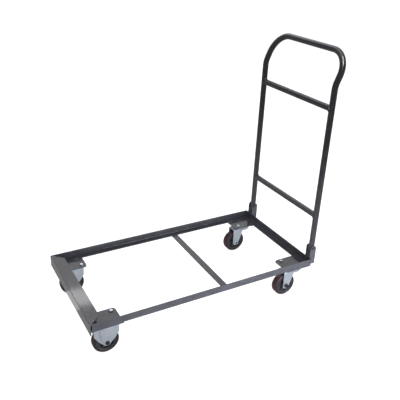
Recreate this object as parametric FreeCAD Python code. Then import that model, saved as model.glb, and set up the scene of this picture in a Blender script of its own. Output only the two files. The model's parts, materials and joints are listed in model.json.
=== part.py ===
import FreeCAD, Part
import os
from math import atan2, cos, hypot, pi, radians, sin, sqrt

# Folding platform cart, in millimetres. +X runs from the nose to the handle, +Y to the far side, +Z up.
# The model is built about the middle of the platform at floor level, then moved along X on export so
# that the origin is the bottom centre of the whole cart.

# Platform frame
FRAME_HALF_WIDTH = 260.0
NOSE_X = -518.0
HANDLE_END_X = 500.0
UNDERSIDE_Z = 148.0
ANGLE_LEG = 30.0
ANGLE_WALL = 3.0
NOSE_LEG = 50.0
NOSE_WALL = 4.0
NOSE_SHOULDER = 8.0
CROSS_MEMBER_X = 69.0
ROOT_RADIUS = 2.5

# Corner plates and the caster bolts through them
GUSSET_LENGTH = 127.0
GUSSET_WIDTH = 100.0
GUSSET_THICKNESS = 5.0
GUSSET_CORNER = 14.0
NOSE_CASTER_X = -447.0
HANDLE_CASTER_X = 438.0
CASTER_Y = 210.0
PLATE_LENGTH = 105.0
PLATE_WIDTH = 85.0
PLATE_THICKNESS = 3.0
PLATE_CORNER = 9.0
BOLT_HALF_X = 40.0
BOLT_HALF_Y = 32.0
BOLT_DIAMETER = 8.0
BOLT_HOLE = 9.0
BOLT_HEAD_FLATS = 13.0
BOLT_HEAD_HEIGHT = 5.3
BOLT_NUT_HEIGHT = 6.8
BOLT_WASHER_DIAMETER = 16.0
BOLT_WASHER_THICKNESS = 1.6
BOLT_END_LENGTH = 2.0
FLUSH_HEAD_DIAMETER = 16.0
FLUSH_HEAD_DEPTH = 4.0

# Wheels and forks
WHEEL_DIAMETER = 106.0
TREAD_WIDTH = 32.0
TYRE_DEPTH = 14.0
SHOULDER_RADIUS = 5.0
CORE_WIDTH = 29.0
RIM_THICKNESS = 5.0
WEB_THICKNESS = 9.0
HUB_DIAMETER = 30.0
HUB_WIDTH = 40.0
CORE_RIBS = 6
RIB_THICKNESS = 4.0
RIB_WIDTH = 22.0
AXLE_DIAMETER = 10.0
AXLE_FIT = 0.05
SLEEVE_DIAMETER = 15.0
BUSH_DIAMETER = 20.0
AXLE_HEAD_FLATS = 17.0
AXLE_HEAD_HEIGHT = 6.4
AXLE_NUT_HEIGHT = 8.0
AXLE_END_LENGTH = 2.0
FORK_GAP = 41.0
FORK_WALL = 3.0
FORK_BEND_RADIUS = 4.0
LEG_END_RADIUS = 16.0
RIGID_LEG_TOP = 103.0
RIGID_LEG_WAIST = 100.0
RIGID_WAIST_Z = 91.0
RIGID_LEG_TAPER = 68.0
RIGID_TAPER_Z = 66.0
SWIVEL_TRAIL = 42.0
SWIVEL_TOE_SET_BACK = 2.0
SWIVEL_WAIST_SET_BACK = 13.0
SWIVEL_WAIST_Z = 88.0
CROWN_TOP_Z = 122.0
CROWN_RADIUS = 36.0
RACE_INNER_RADIUS = 15.0
BALL_CIRCLE_RADIUS = 27.0
BALL_RADIUS = 3.0
BALL_CLEARANCE = 0.1
BALL_CENTRE_Z = 131.0
BALL_COUNT = 22
RACE_HALF_GAP = 1.5
SKIRT_GAP = 0.8
SKIRT_WALL = 2.0
SKIRT_BOTTOM_Z = 124.5
KINGPIN_DIAMETER = 12.0
KINGPIN_HEAD_DIAMETER = 20.0
KINGPIN_NUT_FLATS = 19.0
KINGPIN_NUT_HEIGHT = 8.0
KINGPIN_END_Z = 108.0
KINGPIN_NUT_GAP = 0.3

# Handle and the brackets it folds in
TUBE_DIAMETER = 25.4
TUBE_WALL = 2.0
POST_Y = 231.0
PIVOT_OFFSET_X = 16.0
PIVOT_HEIGHT = 70.0
POST_FOOT_HEIGHT = 9.0
BEND_START_HEIGHT = 781.0
BEND_RADIUS = 80.0
BEND_ANGLE = 23.0
TOP_BAR_REACH = 115.0
TOP_CORNER_RADIUS = 91.0
LOWER_CROSSBAR_HEIGHT = 230.0
UPPER_CROSSBAR_HEIGHT = 706.0
PLUG_FLANGE = 2.5
PLUG_DEPTH = 18.0
BRACKET_WALL = 3.0
BRACKET_SIDE_GAP = 0.3
BRACKET_DEPTH = 31.0
BRACKET_FOOT_DROP = 5.0
BRACKET_STOP_GAP = 0.3
BRACKET_EAR_RADIUS = 15.0
PIVOT_DIAMETER = 10.0
PIVOT_BUSH_DIAMETER = 14.0
PIVOT_HEAD_FLATS = 17.0
PIVOT_HEAD_HEIGHT = 6.4
PIVOT_NUT_HEIGHT = 8.0
PIVOT_END_LENGTH = 2.0

# Sizes that follow from the ones above
WHEEL_RADIUS = WHEEL_DIAMETER / 2
RIM_RADIUS = WHEEL_RADIUS - TYRE_DEPTH
LEDGE_TOP_Z = UNDERSIDE_Z + ANGLE_WALL
FRAME_TOP_Z = UNDERSIDE_Z + ANGLE_LEG
GUSSET_BOTTOM_Z = UNDERSIDE_Z - GUSSET_THICKNESS
PLATE_BOTTOM_Z = GUSSET_BOTTOM_Z - PLATE_THICKNESS
TUBE_RADIUS = TUBE_DIAMETER / 2
PIVOT_X = HANDLE_END_X + PIVOT_OFFSET_X
PIVOT_Z = UNDERSIDE_Z + PIVOT_HEIGHT
BEND_START_Z = UNDERSIDE_Z + BEND_START_HEIGHT
TILT = radians(BEND_ANGLE)
TOP_BAR_X = PIVOT_X + BEND_RADIUS * (1 - cos(TILT)) + TOP_BAR_REACH * sin(TILT)
MIDDLE_X = (NOSE_X + TOP_BAR_X + TUBE_RADIUS) / 2

# General proportions and the distance within which two places count as one
FULL_TURN = 360.0
HEXAGON_SIDES = 6
HEX_TOP_CIRCLE = 0.97
BOLT_TIP_CHAMFER = 0.1
SAME = 0.05

NEAR = -1
FAR = 1
SIDES = {"near": NEAR, "far": FAR}
Y_AXIS = FreeCAD.Vector(0, 1, 0)
Z_AXIS = FreeCAD.Vector(0, 0, 1)

nodes = {}


def point(x, y, z):
    return FreeCAD.Vector(x, y, z)


def box(x0, x1, y0, y1, z0, z1):
    low = point(min(x0, x1), min(y0, y1), min(z0, z1))
    return Part.makeBox(abs(x1 - x0), abs(y1 - y0), abs(z1 - z0), low)


def rod(diameter, length, start, axis):
    return Part.makeCylinder(diameter / 2, length, start, axis)


def sleeve(outer, inner, length, start, axis):
    return rod(outer, length, start, axis).cut(rod(inner, length, start, axis))


def prism(corners, direction):
    outline = Part.makePolygon(corners + corners[:1])
    return Part.Face(outline).extrude(direction)


def hexagon(flats, height, start, axis):
    """A hexagonal prism standing on start, along axis."""
    across = flats / sqrt(3)
    corners = []
    for step in range(HEXAGON_SIDES):
        angle = 2 * pi / HEXAGON_SIDES * step
        corners.append(point(across * cos(angle), across * sin(angle), 0))
    solid = prism(corners, point(0, 0, height))
    chamfer = Part.makeCone(flats / 2 + height, flats / 2 * HEX_TOP_CIRCLE, height)
    solid = solid.common(chamfer)
    solid.Placement = FreeCAD.Placement(start, FreeCAD.Rotation(Z_AXIS, axis))
    return solid


def hex_nut(flats, height, hole, start, axis):
    bore = rod(hole, height, start, axis)
    return hexagon(flats, height, start, axis).cut(bore)


def hex_bolt(flats, head_height, diameter, length, start, axis):
    """A hexagon-head bolt whose shank runs from start along axis, with its head behind start."""
    head = hexagon(flats, head_height, start, axis * -1)
    shank = rod(diameter, length, start, axis)
    tip = [edge for edge in shank.Edges if is_circle_at(edge, start + axis * length)]
    return head.fuse(shank.makeChamfer(diameter * BOLT_TIP_CHAMFER, tip)).removeSplitter()


def is_circle_at(edge, centre):
    return isinstance(edge.Curve, Part.Circle) and (edge.Curve.Center - centre).Length < SAME


def vertical_edges(shape, length):
    """The straight edges of a plate that run along Z for its whole thickness."""
    found = []
    for edge in shape.Edges:
        ends = [vertex.Point for vertex in edge.Vertexes]
        if len(ends) == 2 and abs(abs(ends[0].z - ends[1].z) - length) < SAME:
            found.append(edge)
    return found


def edges_near(shape, test):
    return [edge for edge in shape.Edges if test(edge.CenterOfMass)]


def caster_holes(centre_x, centre_y):
    """The plan positions of the four bolts that hold one caster."""
    places = []
    for dx in (-BOLT_HALF_X, BOLT_HALF_X):
        for dy in (-BOLT_HALF_Y, BOLT_HALF_Y):
            places.append((centre_x + dx, centre_y + dy))
    return places


def all_caster_holes():
    places = []
    for centre_x in (NOSE_CASTER_X, HANDLE_CASTER_X):
        for side in SIDES.values():
            places += caster_holes(centre_x, side * CASTER_Y)
    return places


def on_ledge(x, y):
    """Whether a caster bolt comes up through a ledge, where its head has to be flush for the load."""
    on_side_ledge = abs(y) > FRAME_HALF_WIDTH - ANGLE_LEG
    on_end_ledge = x > HANDLE_END_X - ANGLE_LEG
    return on_side_ledge or on_end_ledge


def flush_head(x, y):
    small = BOLT_DIAMETER / 2
    large = FLUSH_HEAD_DIAMETER / 2
    start = point(x, y, LEDGE_TOP_Z - FLUSH_HEAD_DEPTH)
    return Part.makeCone(small, large, FLUSH_HEAD_DEPTH, start, Z_AXIS)


def drill_caster_holes(solid):
    """Cuts the caster bolt holes that pass through a part of the frame, with their countersinks."""
    for x, y in all_caster_holes():
        drill = rod(BOLT_HOLE, 2 * ANGLE_LEG, point(x, y, UNDERSIDE_Z - ANGLE_LEG), Z_AXIS)
        solid = solid.cut(drill)
        if on_ledge(x, y):
            solid = solid.cut(flush_head(x, y))
    return solid


def round_root(solid, test):
    """Rounds the inside corner of a rolled angle."""
    return solid.makeFillet(ROOT_RADIUS, edges_near(solid, test))


def side_rail(side):
    """Angle with its upright leg outside and its ledge inward, mitred at the handle end."""
    outer = side * FRAME_HALF_WIDTH
    flange_in = side * (FRAME_HALF_WIDTH - ANGLE_WALL)
    ledge_in = side * (FRAME_HALF_WIDTH - ANGLE_LEG)
    nose_inside = NOSE_X + NOSE_WALL
    flange = box(NOSE_X + NOSE_SHOULDER, HANDLE_END_X, flange_in, outer, LEDGE_TOP_Z, FRAME_TOP_Z)
    ledge = box(nose_inside, HANDLE_END_X, ledge_in, outer, UNDERSIDE_Z, LEDGE_TOP_Z)
    rail = flange.fuse(ledge).removeSplitter()
    corner = (flange_in, LEDGE_TOP_Z)
    rail = round_root(rail, lambda c: abs(c.y - corner[0]) < SAME and abs(c.z - corner[1]) < SAME)
    return rail.cut(mitre_wedge(side, keep_side_rail=True))


def mitre_wedge(side, keep_side_rail):
    """The half of the handle-end corner that belongs to the other rail of the mitre."""
    reach = 2 * ANGLE_LEG
    apex = point(HANDLE_END_X + reach, side * (FRAME_HALF_WIDTH + reach), UNDERSIDE_Z)
    heel = point(HANDLE_END_X - reach, side * (FRAME_HALF_WIDTH - reach), UNDERSIDE_Z)
    if keep_side_rail:
        third = point(HANDLE_END_X + reach, side * (FRAME_HALF_WIDTH - reach), UNDERSIDE_Z)
    else:
        third = point(HANDLE_END_X - reach, side * (FRAME_HALF_WIDTH + reach), UNDERSIDE_Z)
    return prism([apex, heel, third], point(0, 0, ANGLE_LEG))


def handle_end_rail():
    flange_in = HANDLE_END_X - ANGLE_WALL
    half = FRAME_HALF_WIDTH
    flange = box(flange_in, HANDLE_END_X, -half, half, LEDGE_TOP_Z, FRAME_TOP_Z)
    ledge = box(HANDLE_END_X - ANGLE_LEG, HANDLE_END_X, -half, half, UNDERSIDE_Z, LEDGE_TOP_Z)
    rail = flange.fuse(ledge).removeSplitter()
    rail = round_root(rail, lambda c: abs(c.x - flange_in) < SAME and abs(c.z - LEDGE_TOP_Z) < SAME)
    for side in SIDES.values():
        rail = rail.cut(mitre_wedge(side, keep_side_rail=False))
    return drill_caster_holes(rail)


def nose_angle():
    """Wide angle across the nose: one leg on top with mitred ends, the other hanging down outside."""
    half = FRAME_HALF_WIDTH
    inside = half - ANGLE_WALL
    shoulder = NOSE_X + NOSE_SHOULDER
    inner = NOSE_X + NOSE_LEG
    mitre = inner - shoulder
    top_z = FRAME_TOP_Z - NOSE_WALL
    corners = [(NOSE_X, -half), (shoulder, -half), (shoulder, -inside), (inner, mitre - inside)]
    corners += [(x, -y) for x, y in reversed(corners)]
    leaf = prism([point(x, y, top_z) for x, y in corners], point(0, 0, NOSE_WALL))
    skirt = box(NOSE_X, NOSE_X + NOSE_WALL, -half, half, FRAME_TOP_Z - NOSE_LEG, FRAME_TOP_Z)
    nose = leaf.fuse(skirt).removeSplitter()
    root_x = NOSE_X + NOSE_WALL
    nose = round_root(nose, lambda c: abs(c.x - root_x) < SAME and abs(c.z - top_z) < SAME)
    heel = edges_near(nose, lambda c: abs(c.x - NOSE_X) < SAME and abs(c.z - FRAME_TOP_Z) < SAME)
    return nose.makeFillet(ROOT_RADIUS / 2, heel)


def cross_member():
    """Angle between the two ledges, flat leg flush with them and its other leg hanging down."""
    half_leg = ANGLE_LEG / 2
    half = FRAME_HALF_WIDTH - ANGLE_LEG
    front = CROSS_MEMBER_X - half_leg
    back = CROSS_MEMBER_X + half_leg
    leaf = box(front, back, -half, half, UNDERSIDE_Z, LEDGE_TOP_Z)
    web = box(back - ANGLE_WALL, back, -half, half, LEDGE_TOP_Z - ANGLE_LEG, UNDERSIDE_Z)
    member = leaf.fuse(web).removeSplitter()
    root_x = back - ANGLE_WALL
    return round_root(member, lambda c: abs(c.x - root_x) < SAME and abs(c.z - UNDERSIDE_Z) < SAME)


def gusset(end_x, inward, side):
    """Corner plate under the ledges, with the corner that points into the frame rounded."""
    outer = side * FRAME_HALF_WIDTH
    inner = side * (FRAME_HALF_WIDTH - GUSSET_WIDTH)
    inner_x = end_x + inward * GUSSET_LENGTH
    plate = box(end_x, inner_x, inner, outer, GUSSET_BOTTOM_Z, UNDERSIDE_Z)
    free_corner = [
        edge
        for edge in vertical_edges(plate, GUSSET_THICKNESS)
        if abs(edge.CenterOfMass.x - inner_x) < SAME and abs(edge.CenterOfMass.y - inner) < SAME
    ]
    plate = plate.makeFillet(GUSSET_CORNER, free_corner)
    return drill_caster_holes(plate)


def caster_plate(centre_x, centre_y):
    plate = box(
        centre_x - PLATE_LENGTH / 2,
        centre_x + PLATE_LENGTH / 2,
        centre_y - PLATE_WIDTH / 2,
        centre_y + PLATE_WIDTH / 2,
        PLATE_BOTTOM_Z,
        GUSSET_BOTTOM_Z,
    )
    plate = plate.makeFillet(PLATE_CORNER, vertical_edges(plate, PLATE_THICKNESS))
    return drill_caster_holes(plate)


def tangent_point(centre, radius, outside, turn):
    """Where a line from the point outside touches a circle in the XZ plane; turn picks the side."""
    dx = outside[0] - centre[0]
    dz = outside[1] - centre[1]
    reach = hypot(dx, dz)
    angle = atan2(dz, dx) + turn * acos_ratio(radius, reach)
    return (centre[0] + radius * cos(angle), centre[1] + radius * sin(angle))


def acos_ratio(near_side, long_side):
    return atan2(sqrt(long_side**2 - near_side**2), near_side)


def fork_leg(outline, axle_x, inner_y, side):
    """A flat leg: straight outline points (x, z) from one top corner to the other, round at the axle."""
    centre = (axle_x, WHEEL_RADIUS)
    start = tangent_point(centre, LEG_END_RADIUS, outline[-1], -1)
    end = tangent_point(centre, LEG_END_RADIUS, outline[0], 1)
    lowest = point(axle_x, 0, WHEEL_RADIUS - LEG_END_RADIUS)
    path = [point(x, 0, z) for x, z in [end] + outline + [start]]
    edges = [Part.LineSegment(a, b).toShape() for a, b in zip(path, path[1:])]
    edges.append(Part.Arc(path[-1], lowest, path[0]).toShape())
    face = Part.Face(Part.Wire(edges))
    face.translate(point(0, inner_y, 0))
    leg = face.extrude(point(0, side * FORK_WALL, 0))
    drill_start = point(axle_x, inner_y - FORK_WALL, WHEEL_RADIUS)
    return leg.cut(rod(AXLE_DIAMETER + 2 * AXLE_FIT, 2 * FORK_WALL, drill_start, Y_AXIS))


def fork_legs(outline, axle_x, centre_y):
    legs = []
    for side in SIDES.values():
        legs.append(fork_leg(outline, axle_x, centre_y + side * FORK_GAP / 2, side))
    return legs


def round_fork_shoulders(fork, centre_y, top_z):
    """Bends the outer edges where the legs turn down from the crown."""
    half = FORK_GAP / 2 + FORK_WALL
    shoulders = edges_near(
        fork, lambda c: abs(abs(c.y - centre_y) - half) < SAME and abs(c.z - top_z) < SAME
    )
    return fork.makeFillet(FORK_BEND_RADIUS, shoulders)


def rigid_bracket(side):
    """Stamped rigid caster: a folded U of tapering legs welded under its fixing plate."""
    x = NOSE_CASTER_X
    y = side * CASTER_Y
    half_top = RIGID_LEG_TOP / 2
    half_waist = RIGID_LEG_WAIST / 2
    half_taper = RIGID_LEG_TAPER / 2
    shoulder_z = PLATE_BOTTOM_Z - FORK_WALL
    outline = [
        (x - half_taper, RIGID_TAPER_Z),
        (x - half_waist, RIGID_WAIST_Z),
        (x - half_top, shoulder_z),
        (x + half_top, shoulder_z),
        (x + half_waist, RIGID_WAIST_Z),
        (x + half_taper, RIGID_TAPER_Z),
    ]
    half_y = FORK_GAP / 2 + FORK_WALL
    crown = box(x - half_top, x + half_top, y - half_y, y + half_y, shoulder_z, PLATE_BOTTOM_Z)
    fork = crown.multiFuse(fork_legs(outline, x, y)).removeSplitter()
    fork = round_fork_shoulders(fork, y, PLATE_BOTTOM_Z)
    return caster_plate(x, y).fuse(fork).removeSplitter()


def ball_groove(x, y):
    groove = BALL_RADIUS + BALL_CLEARANCE
    return Part.makeTorus(BALL_CIRCLE_RADIUS, groove, point(x, y, BALL_CENTRE_Z), Z_AXIS)


def swivel_plate(side):
    """Fixing plate with the upper ball race and the skirt that covers the bearing."""
    x = HANDLE_CASTER_X
    y = side * CASTER_Y
    race_z = BALL_CENTRE_Z + RACE_HALF_GAP
    skirt_inner = CROWN_RADIUS + SKIRT_GAP
    skirt_outer = skirt_inner + SKIRT_WALL
    race_height = PLATE_BOTTOM_Z - race_z
    skirt_height = PLATE_BOTTOM_Z - SKIRT_BOTTOM_Z
    race = sleeve(2 * skirt_outer, KINGPIN_DIAMETER, race_height, point(x, y, race_z), Z_AXIS)
    skirt = sleeve(2 * skirt_outer, 2 * skirt_inner, skirt_height, point(x, y, SKIRT_BOTTOM_Z), Z_AXIS)
    kingpin_hole = rod(KINGPIN_DIAMETER, PLATE_THICKNESS, point(x, y, PLATE_BOTTOM_Z), Z_AXIS)
    countersink = kingpin_head(x, y)
    plate = caster_plate(x, y).cut(kingpin_hole).cut(countersink)
    plate = plate.fuse(race).fuse(skirt).removeSplitter()
    return plate.cut(ball_groove(x, y))


def kingpin_head(x, y):
    small = KINGPIN_DIAMETER / 2
    large = KINGPIN_HEAD_DIAMETER / 2
    return Part.makeCone(small, large, PLATE_THICKNESS, point(x, y, PLATE_BOTTOM_Z), Z_AXIS)


def kingpin(side):
    """Kingpin riveted flush into the fixing plate, running down through the fork crown."""
    x = HANDLE_CASTER_X
    y = side * CASTER_Y
    length = GUSSET_BOTTOM_Z - KINGPIN_END_Z
    shaft = rod(KINGPIN_DIAMETER, length, point(x, y, KINGPIN_END_Z), Z_AXIS)
    return shaft.fuse(kingpin_head(x, y)).removeSplitter()


def kingpin_nut(side):
    top = CROWN_TOP_Z - FORK_WALL - KINGPIN_NUT_GAP
    start = point(HANDLE_CASTER_X, side * CASTER_Y, top)
    return hex_nut(KINGPIN_NUT_FLATS, KINGPIN_NUT_HEIGHT, KINGPIN_DIAMETER, start, Z_AXIS * -1)


def swivel_fork(side):
    """Fork that turns on the kingpin, with its axle trailing behind toward the nose."""
    x = HANDLE_CASTER_X
    y = side * CASTER_Y
    axle_x = x - SWIVEL_TRAIL
    crown_z = CROWN_TOP_Z - FORK_WALL
    heel_x = axle_x - LEG_END_RADIUS
    outline = [
        (heel_x, crown_z),
        (x - SWIVEL_TOE_SET_BACK, crown_z),
        (x - SWIVEL_WAIST_SET_BACK, SWIVEL_WAIST_Z),
    ]
    half_y = FORK_GAP / 2 + FORK_WALL
    crown = rod(2 * CROWN_RADIUS, FORK_WALL, point(x, y, crown_z), Z_AXIS)
    crown = crown.fuse(box(heel_x, x, y - half_y, y + half_y, crown_z, CROWN_TOP_Z)).removeSplitter()
    fork = crown.multiFuse(fork_legs(outline, axle_x, y)).removeSplitter()
    race_height = BALL_CENTRE_Z - RACE_HALF_GAP - CROWN_TOP_Z
    race_start = point(x, y, CROWN_TOP_Z)
    race = sleeve(2 * CROWN_RADIUS, 2 * RACE_INNER_RADIUS, race_height, race_start, Z_AXIS)
    fork = fork.fuse(race).removeSplitter()
    bore = rod(KINGPIN_DIAMETER + 2 * AXLE_FIT, 2 * FORK_WALL, point(x, y, crown_z), Z_AXIS)
    return fork.cut(bore).cut(ball_groove(x, y))


def race_balls(side):
    balls = []
    for step in range(BALL_COUNT):
        angle = 2 * pi * step / BALL_COUNT
        x = HANDLE_CASTER_X + BALL_CIRCLE_RADIUS * cos(angle)
        y = side * CASTER_Y + BALL_CIRCLE_RADIUS * sin(angle)
        balls.append(Part.makeSphere(BALL_RADIUS, point(x, y, BALL_CENTRE_Z)))
    return Part.makeCompound(balls)


def tyre(axle_x, y):
    start = point(axle_x, y - TREAD_WIDTH / 2, WHEEL_RADIUS)
    ring = sleeve(WHEEL_DIAMETER, 2 * RIM_RADIUS, TREAD_WIDTH, start, Y_AXIS)
    shoulders = [
        edge
        for edge in ring.Edges
        if isinstance(edge.Curve, Part.Circle) and abs(edge.Curve.Radius - WHEEL_RADIUS) < SAME
    ]
    return ring.makeFillet(SHOULDER_RADIUS, shoulders)


def wheel_core(axle_x, y):
    """Moulded wheel centre: rim, web, hub and radial ribs."""
    centre = point(axle_x, y, WHEEL_RADIUS)

    def disc(diameter, width, hole):
        return sleeve(diameter, hole, width, centre - Y_AXIS * (width / 2), Y_AXIS)

    rim = disc(2 * RIM_RADIUS, CORE_WIDTH, 2 * (RIM_RADIUS - RIM_THICKNESS))
    web = disc(2 * RIM_RADIUS - RIM_THICKNESS, WEB_THICKNESS, BUSH_DIAMETER)
    hub = disc(HUB_DIAMETER, HUB_WIDTH, BUSH_DIAMETER)
    inner = BUSH_DIAMETER / 2 + 1
    outer = RIM_RADIUS - RIM_THICKNESS / 2
    ribs = []
    for step in range(CORE_RIBS):
        rib = Part.makeBox(outer - inner, RIB_WIDTH, RIB_THICKNESS)
        rib.translate(point(inner, -RIB_WIDTH / 2, -RIB_THICKNESS / 2))
        rib.rotate(point(0, 0, 0), Y_AXIS, FULL_TURN / CORE_RIBS * step)
        rib.translate(centre)
        ribs.append(rib)
    return rim.multiFuse([web, hub] + ribs).removeSplitter()


def wheel_bush(axle_x, y):
    start = point(axle_x, y - HUB_WIDTH / 2, WHEEL_RADIUS)
    return sleeve(BUSH_DIAMETER, SLEEVE_DIAMETER + 2 * AXLE_FIT, HUB_WIDTH, start, Y_AXIS)


def axle_sleeve(axle_x, y):
    """Spacer clamped between the fork legs, on which the wheel turns."""
    start = point(axle_x, y - FORK_GAP / 2, WHEEL_RADIUS)
    return sleeve(SLEEVE_DIAMETER, AXLE_DIAMETER, FORK_GAP, start, Y_AXIS)


def axle_bolt(axle_x, y, side):
    """Axle bolt with its head on the outside of the cart."""
    half = FORK_GAP / 2 + FORK_WALL
    start = point(axle_x, y + side * half, WHEEL_RADIUS)
    length = 2 * half + AXLE_NUT_HEIGHT + AXLE_END_LENGTH
    return hex_bolt(AXLE_HEAD_FLATS, AXLE_HEAD_HEIGHT, AXLE_DIAMETER, length, start, Y_AXIS * -side)


def axle_nut(axle_x, y, side):
    start = point(axle_x, y - side * (FORK_GAP / 2 + FORK_WALL), WHEEL_RADIUS)
    return hex_nut(AXLE_HEAD_FLATS, AXLE_NUT_HEIGHT, AXLE_DIAMETER, start, Y_AXIS * -side)


def bolt_tip_z():
    return PLATE_BOTTOM_Z - BOLT_WASHER_THICKNESS - BOLT_NUT_HEIGHT - BOLT_END_LENGTH


def caster_bolts():
    """Hexagon-head bolts, where a caster bolt comes up through a corner plate alone."""
    bolts = []
    length = UNDERSIDE_Z - bolt_tip_z()
    for x, y in all_caster_holes():
        if not on_ledge(x, y):
            start = point(x, y, UNDERSIDE_Z)
            bolts.append(
                hex_bolt(BOLT_HEAD_FLATS, BOLT_HEAD_HEIGHT, BOLT_DIAMETER, length, start, Z_AXIS * -1)
            )
    return Part.makeCompound(bolts)


def flush_bolts():
    """Countersunk bolts, level with the ledge that they come up through."""
    bolts = []
    length = LEDGE_TOP_Z - bolt_tip_z()
    for x, y in all_caster_holes():
        if on_ledge(x, y):
            shank = rod(BOLT_DIAMETER, length, point(x, y, bolt_tip_z()), Z_AXIS)
            bolts.append(shank.fuse(flush_head(x, y)).removeSplitter())
    return Part.makeCompound(bolts)


def caster_washers():
    z = PLATE_BOTTOM_Z - BOLT_WASHER_THICKNESS
    rings = []
    for x, y in all_caster_holes():
        start = point(x, y, z)
        rings.append(sleeve(BOLT_WASHER_DIAMETER, BOLT_HOLE, BOLT_WASHER_THICKNESS, start, Z_AXIS))
    return Part.makeCompound(rings)


def caster_nuts():
    z = PLATE_BOTTOM_Z - BOLT_WASHER_THICKNESS
    nuts = []
    for x, y in all_caster_holes():
        start = point(x, y, z)
        nuts.append(hex_nut(BOLT_HEAD_FLATS, BOLT_NUT_HEIGHT, BOLT_DIAMETER, start, Z_AXIS * -1))
    return Part.makeCompound(nuts)


def handle_path():
    """Centre line of the bent handle tube, from the near foot over the top to the far foot."""
    foot_z = UNDERSIDE_Z + POST_FOOT_HEIGHT
    outward = point(sin(TILT), 0, cos(TILT))
    half_tilt = TILT / 2
    bend_middle = point(PIVOT_X + BEND_RADIUS * (1 - cos(half_tilt)), -POST_Y,
                        BEND_START_Z + BEND_RADIUS * sin(half_tilt))
    bend_end = point(PIVOT_X + BEND_RADIUS * (1 - cos(TILT)), -POST_Y,
                     BEND_START_Z + BEND_RADIUS * sin(TILT))
    corner_start = bend_end + outward * (TOP_BAR_REACH - TOP_CORNER_RADIUS)
    corner_side = 1 - cos(pi / 4)
    corner_middle = corner_start + outward * (TOP_CORNER_RADIUS * sin(pi / 4))
    corner_middle = corner_middle + Y_AXIS * (TOP_CORNER_RADIUS * corner_side)
    corner_end = corner_start + outward * TOP_CORNER_RADIUS + Y_AXIS * TOP_CORNER_RADIUS
    near = [
        point(PIVOT_X, -POST_Y, foot_z),
        point(PIVOT_X, -POST_Y, BEND_START_Z),
        bend_middle,
        bend_end,
        corner_start,
        corner_middle,
        corner_end,
    ]
    far = [point(p.x, -p.y, p.z) for p in near]
    return Part.Wire(half_path_edges(near) + [Part.LineSegment(near[-1], far[-1]).toShape()]
                     + list(reversed(half_path_edges(far))))


def half_path_edges(places):
    foot, bend_start, bend_middle, bend_end, corner_start, corner_middle, corner_end = places
    return [
        Part.LineSegment(foot, bend_start).toShape(),
        Part.Arc(bend_start, bend_middle, bend_end).toShape(),
        Part.LineSegment(bend_end, corner_start).toShape(),
        Part.Arc(corner_start, corner_middle, corner_end).toShape(),
    ]


def swept(path, radius):
    foot = point(PIVOT_X, -POST_Y, UNDERSIDE_Z + POST_FOOT_HEIGHT)
    section = Part.Wire(Part.makeCircle(radius, foot, Z_AXIS))
    return path.makePipeShell([section], True, False)


def handle_tube():
    path = handle_path()
    tube = swept(path, TUBE_RADIUS).cut(swept(path, TUBE_RADIUS - TUBE_WALL))
    for side in SIDES.values():
        start = point(PIVOT_X, side * POST_Y - TUBE_RADIUS, PIVOT_Z)
        tube = tube.cut(rod(PIVOT_BUSH_DIAMETER, TUBE_DIAMETER, start, Y_AXIS))
    return tube


def crossbar(height):
    """Straight tube between the posts, its ends coped to fit against them."""
    z = UNDERSIDE_Z + height
    bore = TUBE_DIAMETER - 2 * TUBE_WALL
    bar = sleeve(TUBE_DIAMETER, bore, 2 * POST_Y, point(PIVOT_X, -POST_Y, z), Y_AXIS)
    for side in SIDES.values():
        start = point(PIVOT_X, side * POST_Y, z - TUBE_DIAMETER)
        bar = bar.cut(rod(TUBE_DIAMETER, 2 * TUBE_DIAMETER, start, Z_AXIS))
    return bar


def pivot_bushes():
    """Sleeves welded across the feet of the posts, which turn on the pivot bolts."""
    bore = PIVOT_DIAMETER + 2 * AXLE_FIT
    sleeves = []
    for side in SIDES.values():
        start = point(PIVOT_X, side * POST_Y - TUBE_RADIUS, PIVOT_Z)
        sleeves.append(sleeve(PIVOT_BUSH_DIAMETER, bore, TUBE_DIAMETER, start, Y_AXIS))
    return Part.makeCompound(sleeves)


def post_plugs():
    """Push-in plugs that close the open feet of the posts."""
    foot_z = UNDERSIDE_Z + POST_FOOT_HEIGHT
    bore = TUBE_DIAMETER - 2 * TUBE_WALL
    plugs = []
    for side in SIDES.values():
        flange_start = point(PIVOT_X, side * POST_Y, foot_z - PLUG_FLANGE)
        flange = rod(TUBE_DIAMETER, PLUG_FLANGE, flange_start, Z_AXIS)
        stem = rod(bore, PLUG_DEPTH, point(PIVOT_X, side * POST_Y, foot_z), Z_AXIS)
        plugs.append(flange.fuse(stem).removeSplitter())
    return Part.makeCompound(plugs)


def handle_bracket(side):
    """Channel welded to the handle end: its ears carry the pivot, its back is the stop both ways."""
    y = side * POST_Y
    half_in = TUBE_RADIUS + BRACKET_SIDE_GAP
    half_out = half_in + BRACKET_WALL
    foot_z = UNDERSIDE_Z - BRACKET_FOOT_DROP
    back_top = PIVOT_Z - TUBE_RADIUS - BRACKET_STOP_GAP
    back_x = HANDLE_END_X + BRACKET_WALL
    back = box(HANDLE_END_X, back_x, y - half_out, y + half_out, foot_z, back_top)
    pieces = []
    for ear_side in SIDES.values():
        pieces.append(bracket_ear(y + ear_side * half_in, ear_side * BRACKET_WALL, foot_z))
    bracket = back.multiFuse(pieces).removeSplitter()
    heel_edges = edges_near(
        bracket,
        lambda c: abs(c.x - HANDLE_END_X) < SAME
        and abs(abs(c.y - y) - half_out) < SAME
        and c.z < back_top,
    )
    return bracket.makeFillet(BRACKET_WALL / 2, heel_edges)


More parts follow.
